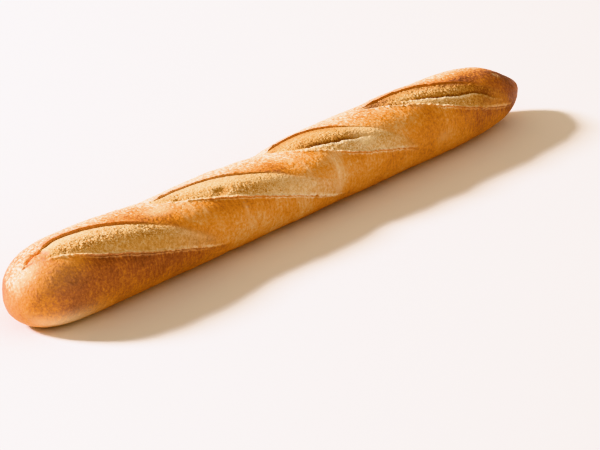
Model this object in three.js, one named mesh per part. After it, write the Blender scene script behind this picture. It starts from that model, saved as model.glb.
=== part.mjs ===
// A whole baguette: a long round-ended loaf with a flat base and four slanting slashes along its top.
// Millimetres. X runs along the loaf, Y across it and Z up, with the flat base at Z = 0.
import * as THREE from "three";

// Overall size
const loafLength = 560;
const loafWidth = 65;
const loafHeight = 52;
const widestHeight = 23; // height at which the loaf is widest
const squareness = 2.3; // power of the cross-section: 2 is an ellipse, more is boxier
const flattening = 1.07; // how far the round underside would pass through the base
const nearEndPower = 16; // bluntness of the -X end
const farEndPower = 7; // bluntness of the +X end
const baseFullness = 1.5; // the underside keeps its width nearer to the ends than the top does
const taper = 0.02; // share of the width lost towards +X
const endSwing = 1.2; // sideways swing of the -X end
const endSwingReach = 45;

// Gentle swells and hollows of the crown: place along the loaf, reach, and height
const crownSwells = [
  { at: -240, reach: 36, rise: 2.6 },
  { at: -192, reach: 20, rise: 1.5 },
  { at: -128, reach: 26, rise: -2.3 },
  { at: -65, reach: 18, rise: 1.0 },
  { at: -50, reach: 85, rise: -3.6 },
  { at: -3, reach: 20, rise: -3.8 },
  { at: 112, reach: 20, rise: -1.2 },
  { at: 120, reach: 60, rise: 0.4 },
  { at: 282, reach: 24, rise: -11.5 },
];

// The slashes. Each starts behind the crown and runs down the front, opening into a lens. Angles are in
// degrees round the section: 0 is the front (-Y), 90 the crown. start and run are along X, top and low are
// the angles of the two ends, bend is how late it turns down, open is the half width, swift and slow shape
// the lens. ear is the lifted upper edge, sink the step below it, swell the bulge of the torn bread, rim
// the ridge on the lower edge, and crevice the depth of a deeper tear. creviceRun says where along the run
// the tear begins and ends, creviceAt its place there, in shares of the half width, and creviceHump where
// it swings up between them.
const slashes = [
  {
    start: -266, run: 186, top: 86.8, low: -25, bend: 0.58, open: 27.5, swift: 0.91, slow: 1.48,
    ear: 1.3, sink: 1.2, swell: 1.6, rim: 1.2,
    crevice: 0, creviceAt: [0, 0], creviceRun: [0.2, 0.6],
    creviceHump: { at: 0.5, reach: 0.1, rise: 0 },
  },
  {
    start: -138, run: 188, top: 101, low: -28.6, bend: 0.51, open: 24.8, swift: 0.9, slow: 1.15,
    ear: 1.1, sink: 1.0, swell: 1.0, rim: 1.0,
    crevice: 0, creviceAt: [0, 0], creviceRun: [0.2, 0.6],
    creviceHump: { at: 0.5, reach: 0.1, rise: 0 },
  },
  {
    start: -4, run: 154, top: 109.6, low: -20, bend: 0.12, open: 30.2, swift: 1.01, slow: 2.2,
    ear: 1.4, sink: 1.0, swell: 1.4, rim: 1.1,
    crevice: 3.2, creviceAt: [-0.62, -0.06], creviceRun: [0.1, 0.47],
    creviceHump: { at: 0.5, reach: 0.1, rise: 0 },
  },
  {
    start: 94, run: 168, top: 101.6, low: -10, bend: 0.54, open: 27.2, swift: 1.23, slow: 1.15,
    ear: 1.5, sink: 1.0, swell: 1.4, rim: 1.1,
    crevice: 3.4, creviceAt: [-0.28, -0.26], creviceRun: [0.24, 0.78],
    creviceHump: { at: 0.66, reach: 0.09, rise: 0.33 },
  },
];
const earReach = 5; // distance over which an ear sinks back into the crust
const tuck = 0.8; // depth of the fold under a lower edge
const tuckReach = 7;
const rimReach = 1.2;
const ledgeReach = 4.8; // width of the bread that slopes down to a crevice
const creviceReach = 0.8; // width of the wall on its other side
const crestShare = 0.55; // how deep the bread beyond that wall still lies, as a share of the crevice
const bandReach = 12; // distance over which it comes back up
const creviceFade = 0.08; // share of the run over which a crevice opens and closes
const poleRound = 0.2; // share of the girth under which the surface counts as facing along the loaf
const reliefRound = 0.5; // share of the girth at which the relief has its full height
const degreeWidth = 0.5; // width of one degree of the section on the crust
const turnBefore = 0.75; // degrees per millimetre by which a slash's line turns on past its two ends

// Mesh: rings along the loaf, and bands of columns round it that follow the edges of the slashes
const capSteps = [12, 24, 36, 48, 60, 70];
const bodyRings = 60;
const lowerStops = [-1.1, -1.0, -0.9]; // shares of the half width
const upperStops = [0.91, 1.0, 1.08];
const creviceSide = 0.18; // the same, from the middle of the crevice to the columns beside it
const outerStops = [0.35, 0.75]; // shares of the way from the side of a band to the slash's edges
const bandMargin = 1.3; // half widths a band leaves free on each side of its slash
const openHalf = 10; // half width from which a band follows its slash fully
const backRoom = 16; // degrees between the outer bands and the plain back
const backColumns = 8;

const crustColor = 0xc98d4c;

const swellAt = (x, { at, reach, rise }) => rise * Math.exp(-(((x - at) / reach) ** 2));
const crownRise = (x) => crownSwells.reduce((sum, swell) => sum + swellAt(x, swell), 0);
const signedPower = (value, power) => Math.sign(value) * Math.abs(value) ** power;

// 0 below low, 1 above high, with an even ramp between them; low may be above high
function ramp(low, high, value) {
  const t = Math.min(Math.max((value - low) / (high - low), 0), 1);
  return t * t * (3 - 2 * t);
}

// Centre line of a slash in degrees, at the share along of its run
function slashCentre(slash, along) {
  const inside = Math.min(Math.max(along, 0), 1);
  const fall = (1 - slash.bend) * inside + slash.bend * inside ** 2;
  const outside = (along - inside) * slash.run * turnBefore;
  return slash.top - (slash.top - slash.low) * fall - outside;
}

// Half width of a slash in degrees: nothing at both ends, widest nearer to its start
function slashHalf(slash, along) {
  const inside = Math.min(Math.max(along, 0), 1);
  const peak = slash.swift / (slash.swift + slash.slow);
  const most = peak ** slash.swift * (1 - peak) ** slash.slow;
  return (slash.open * inside ** slash.swift * (1 - inside) ** slash.slow) / most;
}

// Where the crevice of a slash lies, as a share of its half width
function creviceAcross({ creviceAt: [from, to], creviceRun: [first, last], creviceHump }, along) {
  const way = Math.min(Math.max((along - first) / (last - first), 0), 1);
  return from + (to - from) * way + swellAt(along, creviceHump);
}

// Depth of a crevice, from 0 to 1: the bread above slopes down to it, and the bread below stands higher
function creviceDepth(slash, along, across, half) {
  const [first, last] = slash.creviceRun;
  const opens = ramp(first - creviceFade, first + creviceFade, along);
  const closes = ramp(last + creviceFade, last - creviceFade, along);
  const above = (across - creviceAcross(slash, along)) * half * degreeWidth;
  const ledge = Math.exp(-((above / ledgeReach) ** 2));
  const wall = crestShare + (1 - crestShare) * Math.exp(-((above / creviceReach) ** 2));
  return opens * closes * (above > 0 ? ledge : wall * Math.exp(above / bandReach));
}

// Height of the torn bread between the edges of a slash, at the share across of its half width
function tornBread(slash, along, across, half) {
  const swollen = slash.swell * (1 - across ** 2);
  const sunk = slash.sink * ramp(-0.2, 0.9, across);
  return swollen - sunk - slash.crevice * creviceDepth(slash, along, across, half);
}

// How far the crust stands off the plain loaf at one place
function relief(x, degrees) {
  let height = 0;
  for (const slash of slashes) {
    const along = (x - slash.start) / slash.run;
    if (along <= 0 || along >= 1) continue;
    const half = slashHalf(slash, along);
    const turn = degrees - slashCentre(slash, along);
    const offset = ((((turn + 180) % 360) + 360) % 360) - 180;
    const across = offset / half;
    const beyond = (Math.abs(offset) - half) * degreeWidth;
    const ear = slash.ear * ramp(0, 0.15, along) * ramp(1, 0.55, along);
    const fromEdge = (across + 1) * half * degreeWidth;
    const rim = slash.rim * Math.exp(-((fromEdge / rimReach) ** 2));
    let profile = rim;
    if (across > 1) profile += ear * Math.exp(-beyond / earReach);
    else if (across < -1) profile -= tuck * ramp(0, 1.5, beyond) * Math.exp(-beyond / tuckReach);
    else {
      const edge = ramp(0.92, 1, across);
      profile += tornBread(slash, along, across, half) * (1 - edge) * ramp(-1, -0.88, across) + ear * edge;
    }
    const ends = ramp(0, 0.12, along) * ramp(1, 0.86, along);
    height += profile * ends * ramp(3, 13, half);
  }
  return height;
}

// A point on the crust: share is -1 to 1 along the loaf, degrees the angle round it
function crustPoint(share, degrees) {
  const x = (share * loafLength) / 2;
  const power = share < 0 ? nearEndPower : farEndPower;
  const round = Math.sqrt(1 - Math.abs(share) ** power);
  const girth = round * (1 - taper * share);
  const underGirth = Math.sqrt(1 - Math.abs(share) ** (baseFullness * power));
  const angle = (degrees * Math.PI) / 180;
  const c = Math.cos(angle);
  const s = Math.sin(angle);
  const e = 2 / squareness;
  const crownHeight = loafHeight - widestHeight + crownRise(x);
  const underDepth = widestHeight * flattening;
  const swing = swellAt(x, { at: -loafLength / 2, reach: endSwingReach, rise: endSwing });
  const point = new THREE.Vector3(
    x,
    (-loafWidth / 2) * girth * signedPower(c, e) - swing,
    widestHeight + (s > 0 ? crownHeight * girth : underDepth * underGirth) * signedPower(s, e),
  );
  // Outward direction: across the section, leaning along the loaf where it closes at an end
  const slope = ((power / loafLength) * signedPower(share, power - 1)) / Math.max(round, poleRound);
  const outward = new THREE.Vector3(
    0,
    -signedPower(c, 2 - e) / (loafWidth / 2),
    signedPower(s, 2 - e) / (s > 0 ? crownHeight : underDepth),
  ).normalize();
  outward.x = (slope * loafWidth) / 2;
  outward.normalize();
  point.addScaledVector(outward, relief(x, degrees) * ramp(0, reliefRound, round));
  point.z = Math.max(point.z, 0);
  return point;
}

// Rings along the loaf: even along the body, then closer together by angle over each end
function ringShares() {
  const capShare = (power) => capSteps.map((step) => Math.cos((step * Math.PI) / 180) ** (2 / power));
  const near = capShare(nearEndPower).map((share) => -share);
  const far = capShare(farEndPower).reverse();
  const from = near[near.length - 1];
  const to = far[0];
  const body = Array.from({ length: bodyRings }, (_, i) => from + ((to - from) * (i + 1)) / (bodyRings + 1));
  return [...near, ...body, ...far];
}

// Columns of one band between two angles: on the edges of the slash where it is open, even where it is not
function bandDegrees({ centre, half, crevice }, low, high) {
  const creviceStops = [crevice - creviceSide, crevice, crevice + creviceSide];
  const lowerMiddle = (lowerStops[lowerStops.length - 1] + creviceStops[0]) / 2;
  const upperMiddle = (creviceStops[2] + upperStops[0]) / 2;
  const stops = [...lowerStops, lowerMiddle, ...creviceStops, upperMiddle, ...upperStops];
  const edges = stops.map((stop) => centre + stop * half);
  const followed = [
    ...outerStops.map((stop) => low + (edges[0] - low) * stop),
    ...edges,
    ...outerStops.map((stop) => high + (edges[edges.length - 1] - high) * stop).reverse(),
  ];
  const open = ramp(1, openHalf, half);
  return followed.map((degrees, i) => {
    const even = low + ((high - low) * (i + 0.5)) / followed.length;
    return even + (degrees - even) * open;
  });
}

// Columns round one ring: a band for each slash, then even ones over the plain back
function ringDegrees(share) {
  const x = (share * loafLength) / 2;
  const lenses = slashes.map((slash) => {
    const along = (x - slash.start) / slash.run;
    const half = slashHalf(slash, along);
    const centre = slashCentre(slash, along);
    return { centre, half, margin: bandMargin * half, crevice: creviceAcross(slash, along) };
  });
  const seams = lenses.slice(1).map((lens, i) => {
    const before = lenses[i];
    return (before.centre + before.margin + lens.centre - lens.margin) / 2;
  });
  const outer = lenses[lenses.length - 1];
  const low = lenses[0].centre - lenses[0].margin - backRoom;
  const high = outer.centre + outer.margin + backRoom;
  const sides = [low, ...seams, high];
  const bands = lenses.flatMap((lens, i) => bandDegrees(lens, sides[i], sides[i + 1]));
  const backStep = (low + 360 - high) / backColumns;
  const back = Array.from({ length: backColumns }, (_, i) => high + backStep * (i + 0.5));
  return [...bands, ...back];
}

// A sphere's rows and columns, laid over the loaf with one pole at each end
function loafGeometry() {
  const shares = [-1, ...ringShares(), 1];
  const around = ringDegrees(0).length;
  const geometry = new THREE.SphereGeometry(1, around, shares.length - 1);
  const position = geometry.getAttribute("position");
  shares.forEach((share, row) => {
    const columns = ringDegrees(share);
    for (let column = 0; column <= around; column += 1) {
      const point = crustPoint(share, columns[column % around]);
      position.setXYZ(row * (around + 1) + column, point.x, point.y, point.z);
    }
  });
  geometry.computeBoundingBox();
  const centre = geometry.boundingBox.getCenter(new THREE.Vector3());
  geometry.translate(-centre.x, -centre.y, -geometry.boundingBox.min.z);
  geometry.computeVertexNormals();
  return geometry;
}

const crust = new THREE.MeshStandardMaterial({ color: crustColor, roughness: 0.75, metalness: 0 });
const baguette = new THREE.Mesh(loafGeometry(), crust);
baguette.name = "baguette";

const part = new THREE.Group();
part.add(baguette);

export default part;
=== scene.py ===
import itertools
import math

import bpy
import numpy as np
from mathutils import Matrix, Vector


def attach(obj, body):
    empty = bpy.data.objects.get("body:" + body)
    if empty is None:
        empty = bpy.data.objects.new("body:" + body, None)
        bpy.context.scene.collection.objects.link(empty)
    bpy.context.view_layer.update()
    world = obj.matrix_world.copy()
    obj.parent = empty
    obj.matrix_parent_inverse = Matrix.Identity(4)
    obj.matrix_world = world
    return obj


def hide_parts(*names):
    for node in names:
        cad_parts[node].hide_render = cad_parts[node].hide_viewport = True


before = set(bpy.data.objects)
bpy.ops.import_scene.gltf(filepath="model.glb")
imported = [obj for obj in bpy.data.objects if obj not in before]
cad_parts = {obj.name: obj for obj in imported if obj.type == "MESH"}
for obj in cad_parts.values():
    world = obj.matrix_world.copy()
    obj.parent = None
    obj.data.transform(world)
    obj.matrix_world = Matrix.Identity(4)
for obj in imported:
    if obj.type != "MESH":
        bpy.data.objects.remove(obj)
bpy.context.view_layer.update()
scene = bpy.context.scene
print("frame loaded")

camera = {
    "place": (-1.8668, -1.5729, 1.0025),  # m
    "turn": (67.5, 0, -50.2),  # degrees
    "lens": 216,  # mm
    "sensor": 36,  # mm
}
cameraData = bpy.data.cameras.new("camera")
cameraData.lens = camera["lens"]
cameraData.sensor_width = camera["sensor"]
cameraObject = bpy.data.objects.new("camera", cameraData)
cameraObject.location = camera["place"]
cameraObject.rotation_euler = [math.radians(angle) for angle in camera["turn"]]
scene.collection.objects.link(cameraObject)
scene.camera = cameraObject

# The loaf, in millimetres along X, with degrees round the section: 0 is the front (-Y) and 90 the crown
loaf = {
    "length": 560,
    "width": 65,
    "height": 52,
    "widestHeight": 23,
    "squareness": 2.3,  # power of the section: 2 is an ellipse
    "flattening": 1.07,  # how far the round underside would pass through the base
    "nearEndPower": 16,
    "farEndPower": 7,
    "baseFullness": 1.5,
    "leastClosing": 0.2,  # keeps the outward direction steady at the very tips
    "taper": 0.02,
    "endSwing": 1.2,
    "endSwingReach": 45,
    "sideShift": 0.7,  # brings the middle of the box to y = 0
    "crownSwells": (  # place, reach and rise
        (-240, 36, 2.6),
        (-192, 20, 1.5),
        (-128, 26, -2.3),
        (-65, 18, 1.0),
        (-50, 85, -3.6),
        (-3, 20, -3.8),
        (112, 20, -1.2),
        (120, 60, 0.4),
        (282, 24, -11.5),
    ),
    "degreeWidth": 0.5,  # width of one degree on the crust
    "rings": 1400,
    "capRings": 60,
    "capDegrees": (0.9, 70),  # from the tip of a cap to its last ring
    "columns": 420,
    "columnStep": 0.25,  # degrees, to count out the columns
    "underCloseness": 0.22,  # columns underneath, for each one over the slashes
    "closestFrom": (-60, -25),
    "closestTo": (170, 125),
    "faces": 190000,  # triangles kept
    "seed": 7,
}

# Each slash starts behind the crown and runs down the front. Runs are shares of its length, places across it
# are -1 at its lower edge and 1 at its upper one, and heights are in mm.
# start, run: where it lies along X. top, low: its degrees at both ends. bend: how much of its turn is late.
# open: half its width in degrees. swift, slow: powers by which it opens and closes.
# ear: lift of the upper edge. earRun: where that rises and sinks again. earBrown: browning behind it.
# flaps: place, reach and height of bits of crust that stand up from it. edge: browned faces with painted
# light.
# lip: step under the lower edge. lipRun: where it shows. rim: ridge along it. scorch: browning below it.
# sink: how far the bread dips under the ear. swell: how far it bulges in the middle.
# crumb: how rough it is torn, from crumbFrom to crumbTo across the slash at both ends of crumbRun.
# roughBrown, lowBrown, startBrown, baked: browning of the rough bread, of its lower side and of its two ends.
# cream: how much the bread under the ear stays pale, as far as creamEnd, or browns where it is negative.
# tear: depth of the deeper tear. tearAt: where it starts and ends across the slash. tearRun: and along it.
# tearHump: where it swings up. shelf: browning above it.
slashes = (
    {
        "start": -266, "run": 186, "top": 86.8, "low": -25,
        "bend": 0.58, "open": 27.5, "swift": 0.91, "slow": 1.48,
        "ear": 1.45, "earRun": (0.07, 0.11, 0.45, 0.62), "earBrown": 0.3, "edge": 0.85,
        "flaps": ((-246, 3, 0.6), (-216, 2.5, 0.4)),
        "lip": 1.4, "lipRun": (0.12, 0.8), "rim": 1.2, "scorch": 1.0, "sink": 1.2, "swell": 1.5,
        "crumb": 0.42, "crumbRun": (0.04, 0.62), "crumbFrom": (-0.95, 0.0), "crumbTo": (0.2, 1.1),
        "roughBrown": 0.4, "lowBrown": 0.22, "startBrown": 0, "baked": -0.02,
        "cream": 0.1, "creamEnd": 0.4, "tear": 0,
    },
    {
        "start": -138, "run": 188, "top": 101, "low": -28.6,
        "bend": 0.51, "open": 24.8, "swift": 0.9, "slow": 1.15,
        "ear": 0.9, "earRun": (0, 0.06, 0.4, 0.62), "earBrown": 0.2, "edge": 0.6,
        "flaps": ((-119, 3, 1.0), (-108, 3, 0.3), (-55, 2, 0.8)),
        "lip": 1.1, "lipRun": (0.12, 0.95), "rim": 0.8, "scorch": 0.35, "sink": 1.0, "swell": 1.0,
        "crumb": 0.28, "crumbRun": (0.02, 0.48), "crumbFrom": (-0.9, -0.9), "crumbTo": (0.5, 0.0),
        "roughBrown": 0.34, "lowBrown": 0.2, "startBrown": 0, "baked": -0.02,
        "cream": -0.1, "creamEnd": 0.6, "tear": 0,
    },
    {
        "start": -4, "run": 154, "top": 109.6, "low": -20,
        "bend": 0.12, "open": 30.2, "swift": 1.01, "slow": 2.2,
        "ear": 1.1, "earRun": (0, 0.06, 0.36, 0.52), "earBrown": 0.6, "edge": 0.7,
        "flaps": ((3, 3, 0.5), (10, 3, 1.1), (31, 3, 0.4)),
        "lip": 1.0, "lipRun": (0.22, 0.9), "rim": 0.9, "scorch": 0.25, "sink": 0.9, "swell": 1.4,
        "crumb": 0.3, "crumbRun": (0.03, 0.55), "crumbFrom": (-0.95, -0.95), "crumbTo": (0.0, 0.6),
        "roughBrown": 0.3, "lowBrown": 0.05, "startBrown": 0.1, "baked": 0.25,
        "cream": -0.6, "creamEnd": 0.5,
        "tear": 2.8, "tearAt": (-0.62, -0.06), "tearRun": (0.1, 0.47), "tearHump": (0.5, 0.1, 0),
        "shelf": 0.58,
    },
    {
        "start": 94, "run": 168, "top": 101.6, "low": -10,
        "bend": 0.54, "open": 27.2, "swift": 1.23, "slow": 1.15,
        "ear": 1.3, "earRun": (0, 0.06, 0.5, 0.8), "earBrown": 1.6, "edge": 0.75,
        "flaps": ((118, 4, 0.9), (141, 3, 0.5)),
        "lip": 0.8, "lipRun": (0.3, 0.95), "rim": 0.9, "scorch": 0.6, "sink": 1.0, "swell": 1.4,
        "crumb": 0.43, "crumbRun": (0.03, 0.85), "crumbFrom": (-0.95, -0.95), "crumbTo": (0.95, 0.95),
        "roughBrown": 0.15, "lowBrown": 0.14, "startBrown": 0.5, "baked": 0.25,
        "cream": -0.6, "creamEnd": 0.8,
        "tear": 3.4, "tearAt": (-0.28, -0.26), "tearRun": (0.24, 0.78), "tearHump": (0.66, 0.09, 0.33),
        "shelf": 0.4,
    },
)

# Short cracks in the crust, as places along X and degrees round. The upper side of each stands up a little
cracks = (
    {
        "points": ((-265, 95), (-261, 96), (-257, 96), (-254, 94), (-252, 92), (-252, 83)),
        "depth": 2.0,
        "width": 1.0,
    },
    {"points": ((-269, 94), (-266, 91), (-263, 88)), "depth": 0.9, "width": 0.6},
    {"points": ((241, 52), (245, 60), (244, 72)), "depth": 1.2, "width": 0.9},
)
crackLip = {"height": 0.6, "reach": 2}  # as a share of the depth, and in mm

# Hollows where bubbles tore open in the bread: place, degrees, reach along X and round in mm, and depth
hollows = (
    (-83, 66, 6.5, 3.4, 1.4),
    (-63, 51, 1.4, 1.1, 1.0),
    (-48, 40, 1.3, 1.0, 0.9),
    (-34, 30, 1.3, 1.0, 0.8),
    (-118, 84, 4, 1.6, 0.7),
    (68, 42, 4, 2.4, 1.3),
)
hollowShade = 0.3  # how dark they are

# Flour left on the crust, and two painted highlights on the near tip: place, degrees, reach along X in mm
# and round in degrees, and how thick it lies
flourAndHighlightSpots = (
    (-143, 78, 10, 8, 0.9),
    (-128, 55, 1.7, 9, 0.5),
    (-118, 62, 3, 8, 0.3),
    (-108, 51, 1.7, 9, 0.5),
    (-73, 26, 1.6, 10, 0.5),
    (29, 14, 1.8, 24, 0.75),
    (31, 42, 6, 9, 0.5),
    (25, -8, 1.6, 9, 0.6),
    (3, 48, 1.6, 15, 0.55),
    (68, 41, 6, 6, 1.0),
    (67, 54, 9, 15, 0.45),
    (142, 62, 8, 7, 0.4),
    (153, 0, 6, 5, 0.3),
    (244, 62, 2, 6, 0.9),
    # Painted highlights on the near tip
    (-277, 95, 6, 10, 0.5),
    (-268, 82, 7, 8, 0.6),
)

# A thin even film of flour, and painted light reflected onto the near tip's underside, given in the same way
flourAndReflectionFilms = (
    # Painted light reflected up onto the underside of the near tip
    (-250, -40, 22, 22, 0.6),
    (-256, 44, 20, 26, 0.12),
    (68, 41, 4, 5, 0.5),
    (243, 64, 2, 5, 0.4),
)

# Where the oven browned the crust more (or less), with painted shade on the near tip and in one hollow:
# place, degrees, reach along X and round, and by how much
browningsAndShade = (
    (-175, 15, 45, 40, 0.24),
    # Painted shade on the near tip
    (-250, 20, 36, 36, 0.24),
    (-248, -8, 34, 20, 0.1),
    (-258, 82, 8, 12, 0.2),
    (-262, 150, 26, 30, 0.36),
    # Painted shade in the hollow between the first slash's ear and the second slash's lower edge
    (-158, 70, 22, 16, 0.12),
    (-175, 90, 30, 12, 0.1),
    (60, 90, 60, 10, 0.07),
    (-10, 5, 90, 35, -0.12),
    (28, 8, 22, 24, -0.08),
    (-35, 66, 30, 20, 0.22),
    (110, 50, 70, 12, -0.07),
    (120, 0, 60, 30, 0.03),
    (205, 5, 28, 40, 0.1),
    (212, 38, 13, 22, 0.25),
    (264, 60, 36, 90, 0.36),
    (206, 78, 32, 14, 0.42),
    (60, -48, 150, 14, 0.1),
)


def ramp(low, high, value):
    # A smooth step from 0 at low to 1 at high
    share = np.clip((value - low) / (high - low), 0, 1)
    return share * share * (3 - 2 * share)


def within(value, low, high, soft):
    # 1 between low and high and 0 outside. soft is how far before and after each of them it changes
    beforeLow, afterLow, beforeHigh, afterHigh = soft
    return ramp(low - beforeLow, low + afterLow, value) * ramp(high + afterHigh, high - beforeHigh, value)


def bell(value, middle, reach):
    return np.exp(-(((value - middle) / reach) ** 2))


def fading(distance, reach):
    # 1 up to the start of a distance, then less and less
    return np.exp(-np.maximum(distance, 0) / reach)


def swellAt(x, at, reach, rise):
    return rise * bell(x, at, reach)


def signedPower(value, power):
    return np.sign(value) * np.abs(value) ** power


# Noise is drawn on a lattice of cells
lattice = {
    "lastCell": 255,  # the pattern repeats after it, so it is one under a power of two
    "middleCell": 100,  # the cell at 0
    "drawsPerSeed": 1000,
    "gain": 1.6,  # brings the noise to about -1 to 1
}


def startDraw(draw):
    # The random numbers of one draw, and a shuffled table that gives each cell its entry
    random = np.random.default_rng(loaf["seed"] * lattice["drawsPerSeed"] + draw)
    return random, random.permutation(lattice["lastCell"] + 1)


def latticeCells(axes, size):
    # Where points lie on the lattice, and the cells they lie in
    places = [np.asarray(axis, np.float32) / size + lattice["middleCell"] for axis in axes]
    return places, [np.floor(place).astype(np.int32) for place in places]


def gradientNoise(x, y, z, size, draw):
    # Smooth noise with lumps of the size given: each corner of a cell slopes its own way
    last = lattice["lastCell"]
    random, table = startDraw(draw)
    ways = random.normal(size=(last + 1, 3)).astype(np.float32)
    ways /= np.linalg.norm(ways, axis=1, keepdims=True)
    places, cells = latticeCells((x, y, z), size)
    parts = [place - cell for place, cell in zip(places, cells)]
    eased = [part * part * part * (part * (part * 6 - 15) + 10) for part in parts]
    total = np.zeros(np.shape(x), np.float32)
    for corner in itertools.product((0, 1), repeat=3):
        pick = table[(cells[0] + corner[0]) & last]
        pick = table[(pick + cells[1] + corner[1]) & last]
        pick = table[(pick + cells[2] + corner[2]) & last]
        slope = sum(ways[pick, axis] * (parts[axis] - corner[axis]) for axis in range(3))
        for axis in range(3):
            slope = slope * (eased[axis] if corner[axis] else 1 - eased[axis])
        total += slope
    return total * lattice["gain"]


def pitNoise(x, y, size, draw):
    # Distance to the nearest of scattered points, in cells, and a random value for that point
    last = lattice["lastCell"]
    random, table = startDraw(draw)
    points = random.random((last + 1, 3)).astype(np.float32)
    places, cells = latticeCells((x, y), size)
    nearest = np.full(np.shape(x), np.inf, np.float32)
    value = np.zeros(np.shape(x), np.float32)
    for stepX, stepY in itertools.product((-1, 0, 1), repeat=2):
        pick = table[(table[(cells[0] + stepX) & last] + cells[1] + stepY) & last]
        awayX = cells[0] + stepX + points[pick, 0] - places[0]
        awayY = cells[1] + stepY + points[pick, 1] - places[1]
        away = awayX * awayX + awayY * awayY
        closer = away < nearest
        nearest = np.where(closer, away, nearest)
        value = np.where(closer, points[pick, 2], value)
    return np.sqrt(nearest), value


def layeredNoise(x, y, z, layers, firstDraw=0):
    # Noise added up from layers, each a lump size, a height and the number of a draw
    return sum(height * gradientNoise(x, y, z, size, firstDraw + draw) for size, height, draw in layers)


def plainLoaf(share, degrees):
    # The loaf without relief: its surface, the outward direction and the direction round the section
    x = share * loaf["length"] / 2
    halfWidth = loaf["width"] / 2
    power = np.where(share < 0, loaf["nearEndPower"], loaf["farEndPower"])
    closing = np.sqrt(np.maximum(1 - np.abs(share) ** power, 0))
    girth = closing * (1 - loaf["taper"] * share)
    underGirth = np.sqrt(np.maximum(1 - np.abs(share) ** (loaf["baseFullness"] * power), 0))
    angle = np.radians(degrees)
    cosine = np.cos(angle)
    sine = np.sin(angle)
    bulge = 2 / loaf["squareness"]
    crown = loaf["height"] - loaf["widestHeight"] + sum(swellAt(x, *swell) for swell in loaf["crownSwells"])
    under = loaf["widestHeight"] * loaf["flattening"]
    swing = swellAt(x, -loaf["length"] / 2, loaf["endSwingReach"], loaf["endSwing"])
    rise = np.where(sine > 0, crown * girth, under * underGirth)
    y = -halfWidth * girth * signedPower(cosine, bulge) - swing + loaf["sideShift"]
    z = loaf["widestHeight"] + rise * signedPower(sine, bulge)
    slope = power / loaf["length"] * signedPower(share, power - 1) / np.maximum(closing, loaf["leastClosing"])
    outX = slope * loaf["width"] / 2
    outY = -signedPower(cosine, 2 - bulge) / halfWidth
    outZ = signedPower(sine, 2 - bulge) / np.where(sine > 0, crown, under)
    flat = np.hypot(outY, outZ)
    long = np.sqrt(1 + outX**2)
    outward = np.stack([outX / long, outY / flat / long, outZ / flat / long], -1)
    roundWay = np.stack([np.zeros_like(x), outZ / flat, -outY / flat], -1)
    return np.stack([x, y, z], -1), outward, roundWay, closing


def slashCentre(slash, along):
    inside = np.clip(along, 0, 1)
    fall = (1 - slash["bend"]) * inside + slash["bend"] * inside**2
    return slash["top"] - (slash["top"] - slash["low"]) * fall


def slashHalf(slash, along):
    inside = np.clip(along, 0, 1)
    peak = slash["swift"] / (slash["swift"] + slash["slow"])
    most = peak ** slash["swift"] * (1 - peak) ** slash["slow"]
    return slash["open"] * inside ** slash["swift"] * (1 - inside) ** slash["slow"] / most


# The outline of a slash: layers of rag along its edges in mm, and where it is ragged and at its full depth,
# by its half width in degrees and by the share of its run
slashOutline = {
    "upperRag": ((9, 0.5, 1), (2.6, 0.3, 2)),
    "lowerRag": ((12, 0.85, 3), (3.2, 0.8, 4), (1.5, 0.3, 13)),
    "raggedHalf": (2, 12),
    "deepHalf": (2, 11),
    "deepFrom": (0, 0.1),
    "deepTo": (1, 0.86),
    "leastHalf": 0.01,
    "draws": 20,  # numbers kept for the draws of one slash
}


def placeInSlash(slash, index, x, degrees):
    # Where points lie in a slash: the share of its run, and millimetres in from each ragged edge
    width = loaf["degreeWidth"]
    along = (x - slash["start"]) / slash["run"]
    half = np.maximum(slashHalf(slash, along), slashOutline["leastHalf"])
    turned = (degrees - slashCentre(slash, along) + 180) % 360 - 180
    flat = np.zeros_like(x)
    firstDraw = slashOutline["draws"] * index
    ragged = ramp(*slashOutline["raggedHalf"], half)
    upperRag = layeredNoise(x, flat, flat, slashOutline["upperRag"], firstDraw)
    lowerRag = layeredNoise(x, flat, flat, slashOutline["lowerRag"], firstDraw)
    depth = ramp(*slashOutline["deepFrom"], along) * ramp(*slashOutline["deepTo"], along)
    return {
        "firstDraw": firstDraw,
        "x": x,
        "flat": flat,
        "along": along,
        "half": half * width,
        "across": turned / half,
        "round": turned * width,
        "upper": turned > 0,
        "lower": turned <= 0,
        "fromUpper": (half - turned) * width + upperRag * ragged,
        "fromLower": (half + turned) * width + lowerRag * ragged,
        "depth": depth * ramp(*slashOutline["deepHalf"], half),
    }


# The noise of torn bread: size in mm, the level it is cut from and the number of its draw
breadNoises = {
    "drift": (7, 0, 5),
    "lumps": (2.2, 0, 6),
    "grains": (1.6, 9, 7),
    "patches": (22, 3, 9),
    "clods": (5.5, 5, 15),
}

# Pits and crumbs lie scattered: mm between them, how far each reaches in cells, which of them show, and draw
scattered = {
    "pits": (3.4, (0.4, 0.15), (0.55, 0.95), 8),
    "crumbs": (2.2, (0.5, 0.1), (0.3, 0.8), 12),
}

# What torn bread is built up from, with heights in mm where it is roughest. Lumps, grains and clods are
# folded noise, which has round tops and sharp creases
tornBread = {
    "drift": 1.2,  # bends the rows of lumps
    # lumpCrease and grainCrease: how much painted shade lies in the creases of lumps and of grains
    "lumpHeight": 1.3, "lumpStretch": 0.8, "lumpCrease": 0.5,
    "grainHeight": 1.0, "grainStretch": 0.9, "grainCrease": 0.35,
    "clodHeight": 1.8,
    "crumbHeight": 0.9,
    "pitDepth": 0.7,
    "patchStretch": 1.5, "patchPick": (-0.5, 0.2), "smoothest": 0.45,
    "foldMean": 0.28,
    "creaseFold": (0.14, 0.02),
    "softAcross": (0.15, 0.2, 0.2, 0.2), "softAlong": (0, 0.06, 0.08, 0.12),
}


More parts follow.
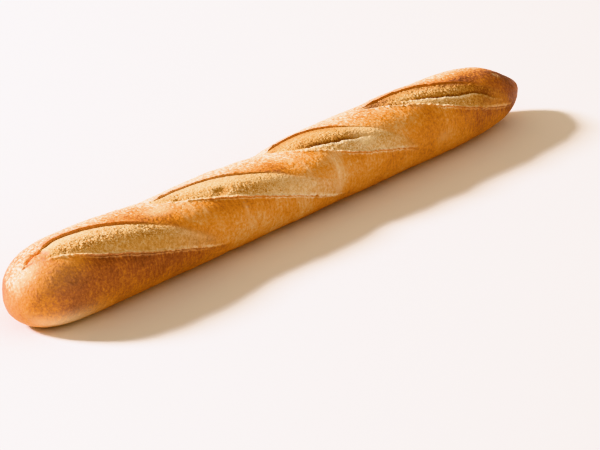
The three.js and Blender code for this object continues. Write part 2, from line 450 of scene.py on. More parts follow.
def breadNoise(kind, x, around, at):
    size, level, draw = breadNoises[kind]
    return gradientNoise(x, around, at["flat"] + level, size, at["firstDraw"] + draw)


def scatteredOn(kind, x, around, at):
    # 1 on a pit or a crumb and 0 between them
    size, reach, pick, draw = scattered[kind]
    away, value = pitNoise(x, around, size, at["firstDraw"] + draw)
    return ramp(*reach, away) * ramp(*pick, value)


def roughness(slash, at):
    # How rough the bread is torn, in patches inside the band where the slash tears
    first, last = slash["crumbRun"]
    way = np.clip((at["along"] - first) / (last - first), 0, 1)
    low = slash["crumbFrom"][0] * (1 - way) + slash["crumbFrom"][1] * way
    high = slash["crumbTo"][0] * (1 - way) + slash["crumbTo"][1] * way
    patches = breadNoise("patches", at["x"], at["round"] * tornBread["patchStretch"], at)
    least = tornBread["smoothest"]
    band = within(at["across"], low, high, tornBread["softAcross"])
    band = band * within(at["along"], first, last, tornBread["softAlong"])
    return slash["crumb"] * band * (least + (1 - least) * ramp(*tornBread["patchPick"], patches))


def tornCrumb(slash, at):
    # Torn bread: rounded lumps and small raised crumbs, with sharp creases and pits between them
    x, around = at["x"], at["round"]
    drift = tornBread["drift"] * breadNoise("drift", x, around, at)
    lumps = np.abs(breadNoise("lumps", x + drift, around * tornBread["lumpStretch"] + drift, at))
    grains = np.abs(breadNoise("grains", x, around * tornBread["grainStretch"], at))
    clods = np.abs(breadNoise("clods", x + drift, around, at))
    pits = scatteredOn("pits", x + drift, around, at)
    crumbs = scatteredOn("crumbs", x, around + drift, at)
    mean = tornBread["foldMean"]
    height = tornBread["lumpHeight"] * (lumps - mean)
    height = height + tornBread["grainHeight"] * (grains - mean)
    height = height + tornBread["clodHeight"] * (clods - mean)
    height = height + tornBread["crumbHeight"] * crumbs - tornBread["pitDepth"] * pits
    # Painted shade in the creases, and in the pits below
    creases = ramp(*tornBread["creaseFold"], lumps) * tornBread["lumpCrease"]
    creases = creases + ramp(*tornBread["creaseFold"], grains) * tornBread["grainCrease"]
    rough = roughness(slash, at)
    return rough * height, np.clip(creases + pits, 0, 1) * rough, rough


# The deeper tear, in mm up (or down) from it, with heights as shares of its depth
tearShape = {
    "rag": ((8, 1.0, 10), (2.4, 0.5, 11)),
    "slopeReach": 4.8,  # the bread above slopes down to the tear
    "brinkReach": 1.6, "brink": 0.4,  # and steepens at its brink
    "wallReach": 0.8, "wall": 0.45,  # the bread below rises in a wall
    "backReach": 12,  # and comes back to its own height
    "crestAt": -1.8, "crestReach": 1.3, "crest": 0.1,
    # gap: where the painted shade along the tear lies
    "gapAt": 0.9, "gapReach": 1.0,
    "shelfFrom": (-0.3, 0.6), "shelfReach": 10, "shelfRise": (0.04, 0.14),
    "softAlong": (0.08, 0.06, 0.08, 0.1), "gapAlong": (0.02, 0.12, 0.12, 0.04),
}


def deepTear(slash, at):
    # The tear: the bread above slopes down to it, and the bread below stands higher, with a crest along it
    if not slash["tear"]:
        return at["flat"], at["flat"], at["flat"], at["flat"]
    low, high = slash["tearAt"]
    first, last = slash["tearRun"]
    along = at["along"]
    way = np.clip((along - first) / (last - first), 0, 1)
    line = low + (high - low) * way + swellAt(along, *slash["tearHump"])
    rag = layeredNoise(at["x"], at["flat"], at["flat"], tearShape["rag"], at["firstDraw"])
    above = (at["across"] - line) * at["half"] + rag
    brink = tearShape["brink"]
    ledge = (1 - brink) * bell(above, 0, tearShape["slopeReach"])
    ledge = ledge + brink * bell(above, 0, tearShape["brinkReach"])
    wall = 1 - tearShape["wall"] + tearShape["wall"] * bell(above, 0, tearShape["wallReach"])
    wall = wall * fading(-above, tearShape["backReach"])
    crest = bell(above, tearShape["crestAt"], tearShape["crestReach"])
    opened = within(along, first, last, tearShape["softAlong"])
    height = slash["tear"] * opened * (tearShape["crest"] * crest - np.where(above > 0, ledge, wall))
    # Painted shade along the tear
    gap = bell(above, tearShape["gapAt"], tearShape["gapReach"]) * opened
    gap = gap * within(along, first, last, tearShape["gapAlong"])
    before, after = tearShape["shelfRise"]
    shelf = ramp(*tearShape["shelfFrom"], above) * fading(above, tearShape["shelfReach"])
    shelf = shelf * ramp(first - before, first + after, along) * opened
    # The last result is where the crest takes a painted highlight
    return height, gap, slash["shelf"] * shelf, crest * opened


# The crust above a slash, in mm out from its upper edge
earShape = {
    "outside": (0.5, 0),
    "reach": 6,
    "tip": 0.55, "tipReach": 2.2,  # the share of the lift that only the very edge has
    "flapReach": 1.6,
    "hang": 0.4, "hangReach": 1.5,
    "innerAt": 0.1, "innerReach": 0.8,  # browned face inside the edge, with painted light
    "outerReach": 2.2, "outerRise": 0.04, "outerEnd": (0.34, 0.2),  # and outside it, where the slash starts
    "brownReach": 7, "brownFrom": (0.02, 0.2),
}


def earRelief(slash, at):
    # The lifted ear above a slash: its height, how far it hangs over, its browned faces and the brown behind
    along = at["along"]
    opens, lifted, sinks, gone = slash["earRun"]
    beyond = np.maximum(-at["fromUpper"], 0)
    fade = ramp(opens, lifted, along) * ramp(gone, sinks, along)
    outside = ramp(*earShape["outside"], at["fromUpper"]) * at["upper"]
    flaps = sum(swellAt(at["x"], *flap) for flap in slash["flaps"])
    tip = earShape["tip"]
    ear = (1 - tip) * fading(beyond, earShape["reach"]) + tip * fading(beyond, earShape["tipReach"])
    height = (slash["ear"] * fade * ear + flaps * fading(beyond, earShape["flapReach"])) * outside
    hang = -earShape["hang"] * fading(beyond, earShape["hangReach"]) * outside * fade
    inner = bell(at["fromUpper"], earShape["innerAt"], earShape["innerReach"]) * fade
    starts = ramp(opens, opens + earShape["outerRise"], along) * ramp(*earShape["outerEnd"], along)
    outer = np.exp(-((beyond / earShape["outerReach"]) ** 4)) * outside * starts
    face = np.maximum(inner, outer) * at["upper"] * slash["edge"]
    brown = slash["earBrown"] * fading(beyond, earShape["brownReach"]) * outside
    return height, hang, face, brown * ramp(*earShape["brownFrom"], along) * fade


# The crust below a slash, in mm out from its lower edge, with noise as size, height and number of the draw
lipShape = {
    "softAlong": (0, 0.14, 0.12, 0.08),
    "stepFrom": (0.5, 1.5), "stepReach": 7,
    "rimAt": -0.4, "rimReach": 1.0,
    "knobs": ((3, 1, 16),), "knobMean": 0.9,
    "second": 0.4, "secondAt": 2.3, "secondReach": 0.6,  # a second rim below the step
    "hang": 0.7, "hangReach": 0.8,
    "paleReach": 0.8, "paleSecond": 0.7, "leastPale": 0.3,  # painted highlight along the rims, broken here and there
    "breaks": ((5, 1, 14),), "breakPick": (-0.6, 0.3),
    "face": 0.5, "faceAt": 0.9, "faceReach": 0.6,  # the browned edge under the first rim, with painted light
    "line": 0.5, "lineAt": 1.4, "lineReach": 0.5,  # and a dark line under that, partly browned and partly painted shade under the rim
}


def lipRelief(slash, at):
    # Below a slash: a knobbly rim, a step and a second rim, with a line between the pale rims that is partly
    # browned and partly painted shade. The paleness of the rims is painted highlight
    x, flat, lower = at["x"], at["flat"], at["lower"]
    beyond = np.maximum(-at["fromLower"], 0)
    stepped = within(at["along"], *slash["lipRun"], lipShape["softAlong"])
    below = (at["fromLower"] < 0) * stepped
    foot = lipShape["stepFrom"][1]
    step = ramp(*lipShape["stepFrom"], beyond) * fading(beyond - foot, lipShape["stepReach"])
    second = bell(beyond, lipShape["secondAt"], lipShape["secondReach"])
    height = slash["lip"] * (lipShape["second"] * second - step) * below
    knobbly = lipShape["knobMean"] + layeredNoise(x, flat, flat, lipShape["knobs"], at["firstDraw"])
    height += slash["rim"] * knobbly * bell(at["fromLower"], lipShape["rimAt"], lipShape["rimReach"]) * lower
    hang = -lipShape["hang"] * bell(at["fromLower"], 0, lipShape["hangReach"]) * stepped * lower
    breaks = layeredNoise(x, flat, flat, lipShape["breaks"], at["firstDraw"])
    least = lipShape["leastPale"]
    # Painted highlight along the rims
    rimHighlight = bell(at["fromLower"], 0, lipShape["paleReach"]) + lipShape["paleSecond"] * second * below
    rimHighlight = rimHighlight * (least + (1 - least) * ramp(*lipShape["breakPick"], breaks)) * lower
    face = lipShape["face"] * bell(beyond, lipShape["faceAt"], lipShape["faceReach"]) * below
    # The dark line: partly browned, partly painted shade under the rim
    brown = lipShape["line"] * bell(beyond, lipShape["lineAt"], lipShape["lineReach"]) * below
    return height, hang, face, brown, rimHighlight, stepped


# The bread inside a slash, in mm in from its edges. It levels out at its tail, the low end
breadShape = {
    "tail": (0.4, 0.8),
    "sinkReach": 4.5,
    "lowSink": 0.5, "lowSinkReach": 2.5, "lowSinkRun": (0.5, 0.2),
    "upperEdge": 0.4, "upperTailEdge": 3, "lowerEdge": 1.3,
}


# Where the tones of a slash lie: in mm from its edges, as shares of its run or as places across it
tones = {
    "upperSoft": 0.3, "upperTailSoft": 7, "upperBack": 0.4,  # how gradually bread turns to crust
    "lowerFrom": -0.1, "lowerSoft": 0.3, "lowerTailSoft": 0.9,
    "tornHalf": (0.5, 3), "tornTo": (1.0, 0.5), "tornFrom": (0.03, 0.02),  # tornFrom: round the ear's start
    "creamAt": 3.5, "creamReach": 3.5, "creamFade": 0.25,
    "bakedFrom": (0.35, 0.8), "lowFrom": (0.4, -0.5), "startTo": (0.3, 0.12),
    "crest": 0.6,  # how much paler the crest of a tear is, a painted highlight where it faces the light
    "creaseShade": 0.8, "gap": 0.9,  # and how dark the painted shade in creases and in the tear itself is
    "scorchReach": 9, "scorchFrom": (0.1, 0.3), "scorchTo": (1, 0.9),
    "nearReach": 12,  # streaks fade over this from the lower edge
}


def tornMask(slash, at, tail):
    # 1 where torn bread shows and 0 on crust
    along = at["along"]
    before, after = tones["tornFrom"]
    begins = slash["earRun"][0]
    opened = ramp(*tones["tornHalf"], at["half"]) * ramp(*tones["tornTo"], along)
    opened = opened * ramp(begins - before, begins + after, along)
    soft = tones["upperSoft"] + tones["upperTailSoft"] * tail
    upper = ramp(-soft * tones["upperBack"], soft, at["fromUpper"])
    lower = ramp(tones["lowerFrom"], tones["lowerSoft"] + tones["lowerTailSoft"] * tail, at["fromLower"])
    return upper * lower * opened


def breadToast(slash, at, rough, shelf, crest):
    # How brown the torn bread baked, less the painted highlight on the crest of a tear
    along, creamEnd = at["along"], slash["creamEnd"]
    toast = slash["baked"] * ramp(*tones["bakedFrom"], along) + shelf + slash["roughBrown"] * rough
    toast += slash["lowBrown"] * ramp(*tones["lowFrom"], at["across"])
    toast += slash["startBrown"] * ramp(*tones["startTo"], along)
    cream = slash["cream"] * bell(at["fromUpper"], tones["creamAt"], tones["creamReach"])
    toast -= cream * ramp(creamEnd, creamEnd - tones["creamFade"], along) + tones["crest"] * crest
    return toast


def scorchBelow(slash, at):
    # The crust just below a slash, which browned more
    under = fading(-at["fromLower"], tones["scorchReach"]) * (at["fromLower"] < 0) * at["lower"]
    run = ramp(*tones["scorchFrom"], at["along"]) * ramp(*tones["scorchTo"], at["along"])
    return under * slash["scorch"] * run


def slashRelief(slash, index, x, degrees):
    # How far one slash stands out, how far its edges hang over, and the masks for its colours
    at = placeInSlash(slash, index, x, degrees)
    along, fromUpper, fromLower = at["along"], at["fromUpper"], at["fromLower"]
    crumbHeight, creaseShade, rough = tornCrumb(slash, at)
    tearHeight, gap, shelf, crest = deepTear(slash, at)
    earHeight, earHang, earFace, earBrown = earRelief(slash, at)
    lipHeight, lipHang, lipFace, lipLineBrownAndShade, rimHighlight, stepped = lipRelief(slash, at)
    tail = ramp(*breadShape["tail"], along)
    sunk = slash["sink"] * fading(fromUpper, breadShape["sinkReach"]) * (1 - tail)
    lowSunk = breadShape["lowSink"] * fading(fromLower, breadShape["lowSinkReach"])
    sunk += lowSunk * (1 - stepped) * ramp(*breadShape["lowSinkRun"], along)
    bread = slash["swell"] * (1 - at["across"] ** 2) - sunk + crumbHeight + tearHeight
    inside = ramp(0, breadShape["upperEdge"] + breadShape["upperTailEdge"] * tail, fromUpper)
    inside = inside * ramp(0, breadShape["lowerEdge"], fromLower)
    height = (earHeight + lipHeight + bread * inside) * at["depth"]
    torn = tornMask(slash, at, tail)
    masks = {
        "toast": breadToast(slash, at, rough, shelf, crest),
        "torn": torn,
        "crumbly": rough * torn,
        # Painted shade in the creases, pits and tear of the torn bread
        "paintedShade": (tones["creaseShade"] * creaseShade + tones["gap"] * gap) * torn,
        "face": np.maximum(earFace, lipFace) * at["depth"],
        # Painted highlight along the rims
        "rim": rimHighlight * at["depth"],
        # Browning below the slash and behind the ear, and the line under the lip step, partly painted shade
        "scorch": scorchBelow(slash, at) + earBrown + lipLineBrownAndShade,
        "near": fading(-fromLower, tones["nearReach"]) * at["lower"] * at["depth"],
    }
    return height, (earHang + lipHang) * at["depth"], masks


def crackRelief(crack, x, degrees):
    # A short crack, deepest along its line, with its upper side lifted a little
    width = loaf["degreeWidth"]
    nearest = np.full(x.shape, np.inf)
    side = np.zeros_like(x)
    places = [np.array((at, angle * width)) for at, angle in crack["points"]]
    for start, end in zip(places, places[1:]):
        run = end - start
        length = np.linalg.norm(run)
        awayX = x - start[0]
        awayY = degrees * width - start[1]
        share = np.clip((awayX * run[0] + awayY * run[1]) / length**2, 0, 1)
        gap = np.hypot(awayX - share * run[0], awayY - share * run[1])
        side = np.where(gap < nearest, (run[0] * awayY - run[1] * awayX) / length, side)
        nearest = np.minimum(nearest, gap)
    cut = bell(nearest, 0, crack["width"])
    lip = fading(nearest, crackLip["reach"]) * (side > 0)
    return crack["depth"] * (crackLip["height"] * lip - cut), cut


def ringShares():
    # Places of the rings as shares of the half length, closest at the round ends
    steps = np.radians(np.linspace(*loaf["capDegrees"], loaf["capRings"]))
    near = -np.cos(steps) ** (2 / loaf["nearEndPower"])
    far = np.cos(steps[::-1]) ** (2 / loaf["farEndPower"])
    body = np.linspace(near[-1], far[0], loaf["rings"] + 2)[1:-1]
    return np.concatenate([near, body, far])


def columnDegrees():
    # Closest over the front and the crown, where the slashes are, and wide apart underneath
    degrees = np.arange(-90, 270, loaf["columnStep"])
    least = loaf["underCloseness"]
    closeness = (1 - least) * ramp(*loaf["closestFrom"], degrees) * ramp(*loaf["closestTo"], degrees)
    counted = np.concatenate([[0], np.cumsum(least + closeness)])
    wanted = np.linspace(0, counted[-1], loaf["columns"] + 1)[:-1]
    return np.interp(wanted, counted, np.append(degrees, 270))


# The skin of the crust, as layers of noise: size and height in mm, and the number of the draw
skin = {
    "lumps": ((34, 0.45, 101), (13, 0.25, 102)),
    "blisters": ((5, 0.16, 103),),
    "pimples": ((2.6, 0.1, 104),),
    "wrinkles": ((3.2, 0.1, 105),),
    "wrinkleLength": 4,  # times their width, round the section
    "tornShare": 0.2,  # what torn bread keeps of it
}


def crustSkin(x, y, z, degrees):
    # Slow lumps from shaping, blisters, and wrinkles round the section
    around = degrees * loaf["degreeWidth"] / skin["wrinkleLength"]
    blisters = np.abs(layeredNoise(x, y, z, skin["blisters"])) + layeredNoise(x, y, z, skin["pimples"])
    wrinkles = layeredNoise(x, around, np.zeros_like(x), skin["wrinkles"])
    return layeredNoise(x, y, z, skin["lumps"]), blisters + wrinkles


def spots(places, x, degrees):
    total = np.zeros_like(x)
    for at, angle, reachX, reachRound, strength in places:
        total += strength * np.exp(-(((x - at) / reachX) ** 2) - ((degrees - angle) / reachRound) ** 2)
    return total


# The pale crown, partly floury bloom and partly a painted highlight where the key light falls on it, and the
# browner back, in degrees round. Their edges wave, in layers of mm along the crust and degrees
crownAndBack = {
    "waves": ((32, 22, 106), (9, 12, 107)),
    "bloomAndHighlightFrom": (50, 120),
    "bloomAndHighlightThins": (175, 122),
    "bloomAndHighlightEnds": (235, 200),
    "leastBloomAndHighlight": 0.15,
    "backFrom": (135, 170),
    "backTo": (260, 215),
    "backBrown": 0.16,
    "tips": (0.05, 0.65),  # all of them fade as the ends close
}


def crustMasks(x, y, z, degrees, closing):
    # The masks for the colours of the crust away from the slashes
    tipless = ramp(*crownAndBack["tips"], closing)
    wavy = degrees + layeredNoise(x, y, z, crownAndBack["waves"])
    # The pale crown: partly floury bloom, partly painted highlight where the key light falls
    least = crownAndBack["leastBloomAndHighlight"]
    bloomAndHighlight = least + (1 - least) * ramp(*crownAndBack["bloomAndHighlightThins"], wavy)
    bloomAndHighlight = bloomAndHighlight * ramp(*crownAndBack["bloomAndHighlightFrom"], degrees) * ramp(*crownAndBack["bloomAndHighlightEnds"], degrees)
    back = ramp(*crownAndBack["backFrom"], wavy) * ramp(*crownAndBack["backTo"], degrees)
    return {
        "bloomAndHighlight": bloomAndHighlight * tipless,
        # The browner crust, with painted shade in places, and the browner back
        "brown": (spots(browningsAndShade, x, degrees) + crownAndBack["backBrown"] * back) * tipless,
        # Flour spots and painted highlights
        "flourAndPaintedLight": np.clip(spots(flourAndHighlightSpots, x, degrees), 0, 1) * tipless,
        # Flour film, and painted reflected light under the near tip
        "filmAndReflection": spots(flourAndReflectionFilms, x, degrees) * tipless,
        "round": degrees * loaf["degreeWidth"] / 1000,
    }


def cutSlashes(height, x, degrees):
    # Adds the slashes to the height, and gives how far their edges hang over and their masks
    sideways = np.zeros_like(x)
    highest = ("torn", "crumbly", "paintedShade", "face", "rim", "scorch", "near")
    masks = {name: np.zeros_like(x) for name in ("toast", *highest)}
    for index, slash in enumerate(slashes):
        rows = (x[:, 0] > slash["start"] - 1) & (x[:, 0] < slash["start"] + slash["run"] + 1)
        slashHeight, slashSideways, made = slashRelief(slash, index, x[rows], degrees[rows])
        height[rows] += slashHeight
        sideways[rows] += slashSideways
        deeper = made["torn"] > masks["torn"][rows]
        masks["toast"][rows] = np.where(deeper, made["toast"], masks["toast"][rows])
        for name in highest:
            masks[name][rows] = np.maximum(masks[name][rows], made[name])
    return sideways, masks


endRelief = {"grows": (0, 0.5), "least": 0.25}  # relief flattens as the ends close


def makeLoaf():
    share, degrees = np.meshgrid(ringShares(), columnDegrees(), indexing="ij")
    point, outward, roundWay, closing = plainLoaf(share, degrees)
    x, y, z = point[..., 0], point[..., 1], point[..., 2]
    height, fineSkin = crustSkin(x, y, z, degrees)
    sideways, masks = cutSlashes(height, x, degrees)
    height += fineSkin * (1 - masks["torn"] * (1 - skin["tornShare"]))
    for crack in cracks:
        crackHeight, cut = crackRelief(crack, x, degrees)
        height += crackHeight
        masks["face"] = np.maximum(masks["face"], cut)
    for at, angle, reachX, reachRound, depth in hollows:
        away = (degrees - angle) * loaf["degreeWidth"]
        bowl = np.exp(-(((x - at) / reachX) ** 4) - (away / reachRound) ** 4)
        height -= depth * bowl
        # Painted shade in the hollow
        masks["paintedShade"] = np.maximum(masks["paintedShade"], hollowShade * bowl)
    full = ramp(*endRelief["grows"], closing)
    height *= endRelief["least"] + (1 - endRelief["least"]) * full
    sideways *= full
    masks.update(crustMasks(x, y, z, degrees, closing))
    point = point + outward * height[..., None] + roundWay * sideways[..., None]
    point[..., 2] = np.maximum(point[..., 2], 0)
    return point, masks


def meshFromRings(name, point, masks):
    # Quads between the rings and a fan on each end, with each mask as a value on the points
    rings, around = point.shape[:2]
    tips = np.stack([point[0].mean(0), point[-1].mean(0)])
    tips[0, 0] = -loaf["length"] / 2
    tips[1, 0] = loaf["length"] / 2
    vertices = np.concatenate([point.reshape(-1, 3), tips]) / 1000
    grid = np.arange(rings * around).reshape(rings, around)
    turned = np.roll(grid, -1, axis=1)
    quads = np.stack([grid[:-1], turned[:-1], turned[1:], grid[1:]], -1).reshape(-1, 4)
    nearTip = np.full(around, rings * around)
    nearFan = np.stack([nearTip, turned[0], grid[0]], -1)
    farFan = np.stack([nearTip + 1, grid[-1], turned[-1]], -1)
    corners = np.concatenate([quads.ravel(), nearFan.ravel(), farFan.ravel()])
    counts = np.concatenate([np.full(len(quads), 4), np.full(2 * around, 3)])
    starts = np.concatenate([[0], np.cumsum(counts)[:-1]])
    mesh = bpy.data.meshes.new(name)
    mesh.vertices.add(len(vertices))
    mesh.vertices.foreach_set("co", vertices.ravel().astype(np.float32))
    mesh.loops.add(len(corners))
    mesh.loops.foreach_set("vertex_index", corners.astype(np.int32))
    mesh.polygons.add(len(counts))
    mesh.polygons.foreach_set("loop_start", starts.astype(np.int32))
    for mask, values in masks.items():
        layer = mesh.attributes.new(mask, "FLOAT", "POINT")
        flat = np.concatenate([values.ravel(), values[0].mean(keepdims=True), values[-1].mean(keepdims=True)])
        layer.data.foreach_set("value", flat.astype(np.float32))
    mesh.update(calc_edges=True)
    mesh.validate()
    return mesh


def thinned(piece, faces):
    # The mesh of a piece with about so many triangles
    thin = piece.modifiers.new("thin", "DECIMATE")
    thin.ratio = faces / sum(len(polygon.vertices) - 2 for polygon in piece.data.polygons)
    depsgraph = bpy.context.evaluated_depsgraph_get()
    mesh = bpy.data.meshes.new_from_object(piece.evaluated_get(depsgraph))
    piece.modifiers.remove(thin)
    return mesh


loafPoints, loafMasks = makeLoaf()
loafPiece = bpy.data.objects.new("loaf", meshFromRings("loaf", loafPoints, loafMasks))
scene.collection.objects.link(loafPiece)
loafPiece.data = thinned(loafPiece, loaf["faces"])
loafPiece.data.shade_smooth()
print("loaf shaped", len(loafPiece.data.polygons))


def linear(hexColour):
    # sRGB hex to the linear colour that shaders take
    values = [int(hexColour[i : i + 2], 16) / 255 for i in (1, 3, 5)]
    return [v / 12.92 if v <= 0.04045 else ((v + 0.055) / 1.055) ** 2.4 for v in values] + [1]


def addNode(tree, kind, inputs=(), **settings):
    node = tree.nodes.new(kind)
    for name, value in settings.items():
        setattr(node, name, value)
    for key, value in dict(inputs).items():
        if isinstance(value, bpy.types.NodeSocket):
            tree.links.new(value, node.inputs[key])
        else:
            node.inputs[key].default_value = value
    return node


def weighted(tree, start, *terms):
    # start plus each value times its weight
    total = start
    for value, weight in terms:
        inputs = {0: value, 1: weight, 2: total}
        total = addNode(tree, "ShaderNodeMath", inputs, operation="MULTIPLY_ADD").outputs[0]
    return total


# Wheat crust browned by dry oven heat: mottled from cream to red-brown, with a dull sheen over fine blisters.
# The torn crumb is matt and paler, and browns only on its edges. Tones run from 0, pale, to 1, darkest
bread = {
    "crust": ((0.0, "#faecd8"), (0.25, "#e4bd88"), (0.5, "#d58b3b"), (0.75, "#a3623c"), (1.0, "#683c2a")),
    "crumb": ((0.0, "#f8e8cc"), (0.3, "#e4c798"), (0.55, "#cc9b5c"), (0.8, "#ac7642"), (1.0, "#7e5032")),
    "edge": "#da8a52",  # where a crust edge stood up and browned, kept light as painted light on its faces in shade
    # Also the colour of the painted highlights, the painted reflected light and the pale rims
    "flourAndPaintedLight": "#f6e2ba",
    "sizes": {
        "mottle": 2.2,  # mm, blotches of browning
        "speck": 1.0,  # mm, drawn twice as coarse as the real specks of bran and browned starch
        "patch": 30,  # mm, uneven browning
        "grain": 1.5,  # mm, the finest blisters
    },
    "details": {"mottle": 4.0, "speck": 2.0, "patch": 3.0, "grain": 2.0},
    "streakSizes": (1.6, 9),  # mm along the loaf and round it, from the stretch of the skin
    "streakDetail": 3.0,
    "crustTone": 0.5,
    "crustPatterns": {"mottle": 0.5, "speck": 0.35, "patch": 0.55},
    "streaks": 0.2,
    "nearStreaks": 0.4,  # more of them below a slash
    # The pale crown lightens the crust: partly floury bloom, partly painted highlight
    "crustMasks": {"bloomAndHighlight": -0.36, "scorch": 0.2, "rim": -0.42, "brown": 1.0},
    "bloomAndHighlightPatterns": {"mottle": 1.4, "speck": 0.8},
    "bloomAndHighlightContrast": 1.4,
    "bloomAndHighlightDarkest": 0.12,
    "crumbTone": 0.3,
    "crumbPatterns": {"mottle": 0.6, "speck": 0.5},
    # The painted shade darkens the torn bread
    "crumbMasks": {"toast": 0.6, "paintedShade": 0.4, "rim": -0.28, "brown": 0.6},
    "grainPatterns": {"speck": 2.0, "grain": 1.0},
    "grainContrast": 1.4,
    "flourPatterns": {"speck": 2.5, "mottle": 3.0},
    "flourAndLightCover": (-0.3, 0.2),
    # How much of the flour colour the pale rims take, as painted highlight
    "rimHighlightFlour": 0.35,
    "crustRoughness": 0.55,
    "crumbRoughness": 0.8,
    "ior": 1.45,
    "specular": 0.15,
    "relief": 0.0011,  # m, depth of the finest relief
    "reliefStrength": 0.8,
    "reliefPatterns": {"mottle": 0.8, "grain": 0.5, "streak": 0.25},
    "reliefMasks": {"torn": 0.9, "bloomAndHighlight": 0.5},  # what deepens it
}


def perMetre(size):
    # Texture scale for a pattern of so many millimetres
    return 1000 / size


def named(values, weights):
    return [(values[name], weight) for name, weight in weights.items()]


def centred(tree, patterns, weights):
    # Patterns run from 0 to 1, and their sum here is 0 on the average
    return weighted(tree, -sum(weights.values()) / 2, *named(patterns, weights))


def breadPatterns(tree, mask):
    # The patterns that the tones and the relief are mixed from
    place = addNode(tree, "ShaderNodeTexCoord").outputs["Object"]
    patterns = {}
    for name, size in bread["sizes"].items():
        inputs = {"Vector": place, "Scale": perMetre(size), "Detail": bread["details"][name]}
        patterns[name] = addNode(tree, "ShaderNodeTexNoise", inputs).outputs["Fac"]
    split = addNode(tree, "ShaderNodeSeparateXYZ", {0: place})
    wrapped = addNode(tree, "ShaderNodeCombineXYZ", {0: split.outputs["X"], 1: mask["round"]})
    scale = (*[perMetre(size) for size in bread["streakSizes"]], 1.0)
    stretched = addNode(tree, "ShaderNodeMapping", {"Vector": wrapped.outputs[0], "Scale": scale})
    inputs = {"Vector": stretched.outputs[0], "Scale": 1.0, "Detail": bread["streakDetail"]}
    streaks = addNode(tree, "ShaderNodeTexNoise", inputs).outputs["Fac"]
    centredStreaks = addNode(tree, "ShaderNodeMath", {0: streaks, 1: 0.5}, operation="SUBTRACT")
    patterns["streak"] = centredStreaks.outputs[0]
    return patterns


def crustColour(tree, mask, patterns):
    inputs = {0: patterns["streak"], 1: mask["near"]}
    nearStreak = addNode(tree, "ShaderNodeMath", inputs, operation="MULTIPLY").outputs[0]
    # Mottling of the pale crown, partly floury bloom and partly painted highlight
    inputs = {0: centred(tree, patterns, bread["bloomAndHighlightPatterns"]), 1: bread["bloomAndHighlightDarkest"]}
    fewDark = addNode(tree, "ShaderNodeMath", inputs, operation="MINIMUM").outputs[0]
    inputs = {0: fewDark, 1: mask["bloomAndHighlight"]}
    bloomAndHighlightMottle = addNode(tree, "ShaderNodeMath", inputs, operation="MULTIPLY").outputs[0]
    tone = weighted(
        tree,
        centred(tree, patterns, bread["crustPatterns"]),
        (patterns["streak"], bread["streaks"]),
        (nearStreak, bread["nearStreaks"]),
        (bloomAndHighlightMottle, bread["bloomAndHighlightContrast"]),
        (1.0, bread["crustTone"]),
        *named(mask, bread["crustMasks"]),
    )
    return tonedColour(tree, tone, bread["crust"])


def crumbColour(tree, mask, patterns):
    inputs = {0: centred(tree, patterns, bread["grainPatterns"]), 1: mask["crumbly"]}
    graining = addNode(tree, "ShaderNodeMath", inputs, operation="MULTIPLY").outputs[0]
    tone = weighted(
        tree,
        centred(tree, patterns, bread["crumbPatterns"]),
        (graining, bread["grainContrast"]),
        (1.0, bread["crumbTone"]),
        *named(mask, bread["crumbMasks"]),
    )
    return tonedColour(tree, tone, bread["crumb"])


def tonedColour(tree, tone, stops):
    # The colour for a tone, from stops of place and colour
    node = addNode(tree, "ShaderNodeValToRGB", {"Fac": tone})
    elements = node.color_ramp.elements
    while len(elements) < len(stops):
        elements.new(0.5)
    for element, (place, colour) in zip(elements, stops):
        element.position = place
        element.color = linear(colour)
    return node.outputs["Color"]


def flourAndLightCover(tree, mask, patterns):
    # A film as it is, and spots broken up by the specks they lie on. Some spots and one film are painted
    # highlight and reflected light
    speckled = centred(tree, patterns, bread["flourPatterns"])
    bare, covered = bread["flourAndLightCover"]
    patchy = addNode(tree, "ShaderNodeMapRange", {"Value": speckled, "From Min": bare, "From Max": covered})
    # The rims take some of that colour as a painted highlight
    return weighted(tree, mask["filmAndReflection"], (patchy.outputs[0], mask["flourAndPaintedLight"]), (mask["rim"], bread["rimHighlightFlour"]))


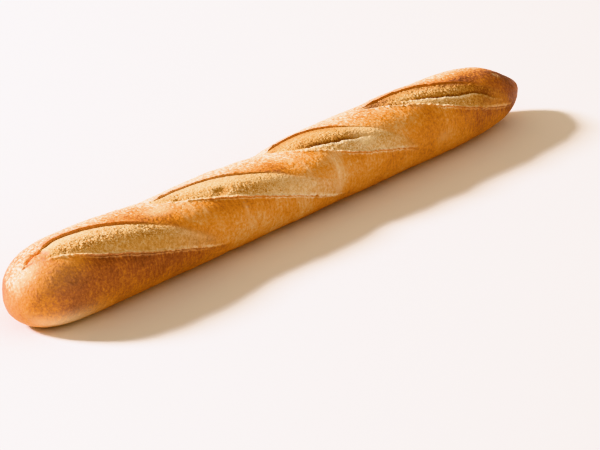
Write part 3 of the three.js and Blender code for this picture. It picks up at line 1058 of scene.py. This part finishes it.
def bakedBread():
    material = bpy.data.materials.new("oven baked wheat bread")
    material.use_nodes = True
    tree = material.node_tree
    tree.nodes.clear()
    mask = {}
    for name in loafMasks:
        mask[name] = addNode(tree, "ShaderNodeAttribute", attribute_name=name).outputs["Fac"]
    patterns = breadPatterns(tree, mask)
    colour = crustColour(tree, mask, patterns)
    layers = (
        (mask["torn"], crumbColour(tree, mask, patterns)),
        (mask["face"], linear(bread["edge"])),
        (flourAndLightCover(tree, mask, patterns), linear(bread["flourAndPaintedLight"])),
    )
    for cover, over in layers:
        colour = addNode(tree, "ShaderNodeMix", {0: cover, 6: colour, 7: over}, data_type="RGBA").outputs[2]
    inputs = {"Value": mask["torn"], "To Min": bread["crustRoughness"], "To Max": bread["crumbRoughness"]}
    roughness = addNode(tree, "ShaderNodeMapRange", inputs).outputs["Result"]
    shallow = weighted(tree, 0.0, *named(patterns, bread["reliefPatterns"]))
    deeper = weighted(tree, 1.0, *named(mask, bread["reliefMasks"]))
    relief = addNode(tree, "ShaderNodeMath", {0: shallow, 1: deeper}, operation="MULTIPLY").outputs[0]
    inputs = {"Height": relief, "Strength": bread["reliefStrength"], "Distance": bread["relief"]}
    bump = addNode(tree, "ShaderNodeBump", inputs).outputs["Normal"]
    shader = addNode(
        tree,
        "ShaderNodeBsdfPrincipled",
        {
            "Base Color": colour,
            "Roughness": roughness,
            "Normal": bump,
            "IOR": bread["ior"],
            "Specular IOR Level": bread["specular"],
        },
    )
    addNode(tree, "ShaderNodeOutputMaterial", {"Surface": shader.outputs["BSDF"]})
    return material


loafPiece.data.materials.append(bakedBread())
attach(loafPiece, "root")
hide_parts("baguette")
print("crust finished")

# A wide pale floor, a small strong key light behind the loaf's near end, and a warm fill from all round
studio = {
    "floorSize": 16,  # m
    "floorColour": "#efeff2",
    "floorRoughness": 0.8,
    "keyWay": (-0.475, 0.711, 0.522),
    "keyDistance": 3.0,  # m
    "keySize": 0.6,  # m
    "keyPower": 288,  # W
    "keyColour": "#f4f7ff",
    "fillColour": "#ffe2bd",
    "fillStrength": 0.7,
}


def plainFloor():
    # Board with matt paint, so nothing shines back from it
    mesh = bpy.data.meshes.new("floor")
    side = studio["floorSize"] / 2
    corners = [(-side, -side, 0), (side, -side, 0), (side, side, 0), (-side, side, 0)]
    mesh.from_pydata(corners, [], [(0, 1, 2, 3)])
    floor = bpy.data.objects.new("floor", mesh)
    scene.collection.objects.link(floor)
    material = bpy.data.materials.new("matt painted board")
    material.use_nodes = True
    shader = material.node_tree.nodes["Principled BSDF"]
    shader.inputs["Base Color"].default_value = linear(studio["floorColour"])
    shader.inputs["Roughness"].default_value = studio["floorRoughness"]
    mesh.materials.append(material)


plainFloor()
keyData = bpy.data.lights.new("key", "AREA")
keyData.energy = studio["keyPower"]
keyData.size = studio["keySize"]
keyData.color = linear(studio["keyColour"])[:3]
key = bpy.data.objects.new("key", keyData)
key.location = [way * studio["keyDistance"] for way in studio["keyWay"]]
key.rotation_euler = Vector(studio["keyWay"]).to_track_quat("Z", "Y").to_euler()
scene.collection.objects.link(key)
world = bpy.data.worlds.new("studio")
world.use_nodes = True
background = world.node_tree.nodes["Background"]
background.inputs["Color"].default_value = linear(studio["fillColour"])
background.inputs["Strength"].default_value = studio["fillStrength"]
scene.world = world
scene.view_settings.view_transform = "Khronos PBR Neutral"
print("studio lit")
